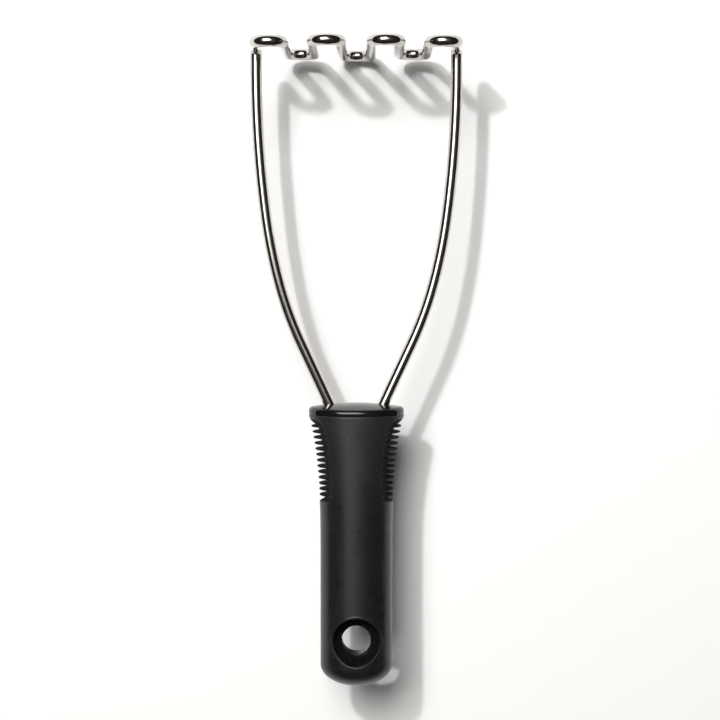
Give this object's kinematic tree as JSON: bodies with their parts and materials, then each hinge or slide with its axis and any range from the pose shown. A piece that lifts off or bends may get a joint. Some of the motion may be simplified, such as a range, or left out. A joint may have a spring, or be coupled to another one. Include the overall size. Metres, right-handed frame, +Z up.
{
  "type": "potato masher",
  "caption": "Hand potato masher: a zigzag steel wire head on two curved wire arms, set in a soft oval handle with side fins and a hanging hole.",
  "frame": {"origin": "middle of the hanging hole, halfway through the handle's thickness", "axes": "+Y runs up the handle to the mashing wire, +X across the head to the right arm, +Z up out of the handle's front face, along the hanging hole; the masher lies on its back"},
  "size_m": [0.0916, 0.2805, 0.081],
  "materials": {
    "wire": "polished stainless",
    "grip": "soft matte",
    "hard_black": "gloss",
    "core": "moulded"
  },
  "bodies": {
    "root": {"mashing_wire": "wire", "left_arm": "wire", "right_arm": "wire", "handle_core": "core", "collar": "hard_black", "grip": "grip", "hole_liner": "hard_black"}
  },
  "joints": []
}
